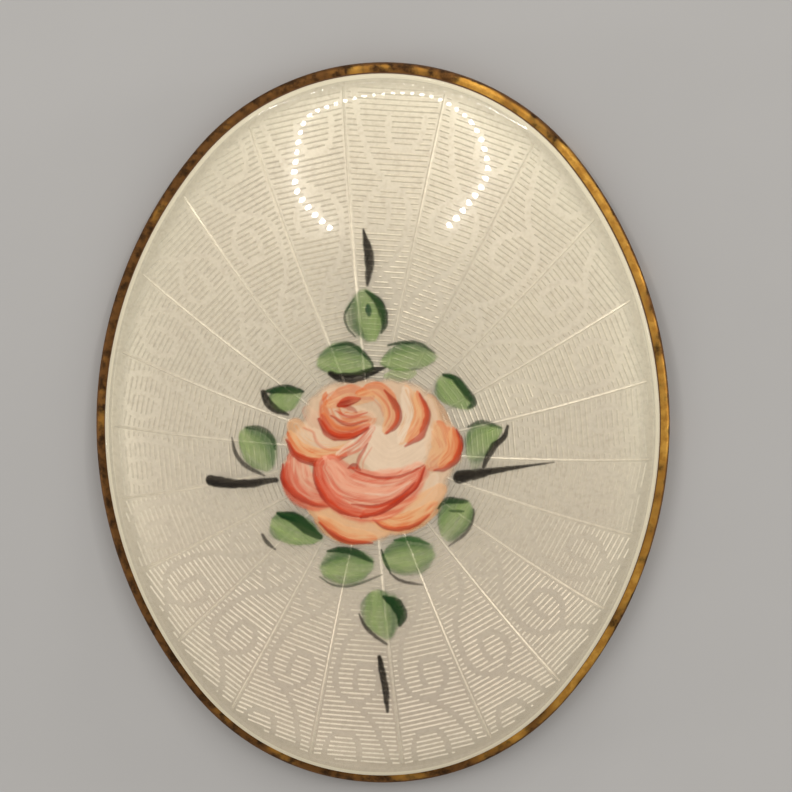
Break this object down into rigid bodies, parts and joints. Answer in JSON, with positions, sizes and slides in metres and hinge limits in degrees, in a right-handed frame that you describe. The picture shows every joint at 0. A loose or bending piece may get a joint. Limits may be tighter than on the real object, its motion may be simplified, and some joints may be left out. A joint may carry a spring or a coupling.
{
  "type": "oval enamel brooch",
  "caption": "Oval domed brooch: ivory enamel over a gilt brass shell with a hollow back, a painted rose spray and a pin across the back.",
  "frame": {"origin": "middle of the oval at the level of the rim's bottom, which rests on the table", "axes": "+Z out of the enamelled front, +Y along the oval to the top of the painted spray, +X to the right seen from the front"},
  "size_m": [0.03, 0.038, 0.0052],
  "materials": {
    "gilt_brass": "worn gilding, brown tarnish",
    "ivory_enamel": "milky translucent, glossy",
    "rose_paint": "fired enamel paint, satin",
    "leaf_paint": "fired enamel paint, satin",
    "dark_paint": "fired enamel paint, satin",
    "pin_brass": "drawn wire, dull"
  },
  "bodies": {
    "root": {"back_plate": "gilt_brass", "enamel": "ivory_enamel", "rose": "rose_paint", "pin_back": "pin_brass", "leaf_top": "leaf_paint", "leaf_upper_left": "leaf_paint", "leaf_upper_right": "leaf_paint", "leaf_north_west": "leaf_paint", "leaf_west": "leaf_paint", "leaf_south_west": "leaf_paint", "leaf_south_left": "leaf_paint", "leaf_south_right": "leaf_paint", "leaf_bottom": "leaf_paint", "leaf_south_east": "leaf_paint", "leaf_east": "leaf_paint", "leaf_north_east": "leaf_paint", "dash_top": "dark_paint", "dash_left": "dark_paint", "dash_right": "dark_paint", "dash_bottom": "dark_paint"}
  },
  "joints": []
}
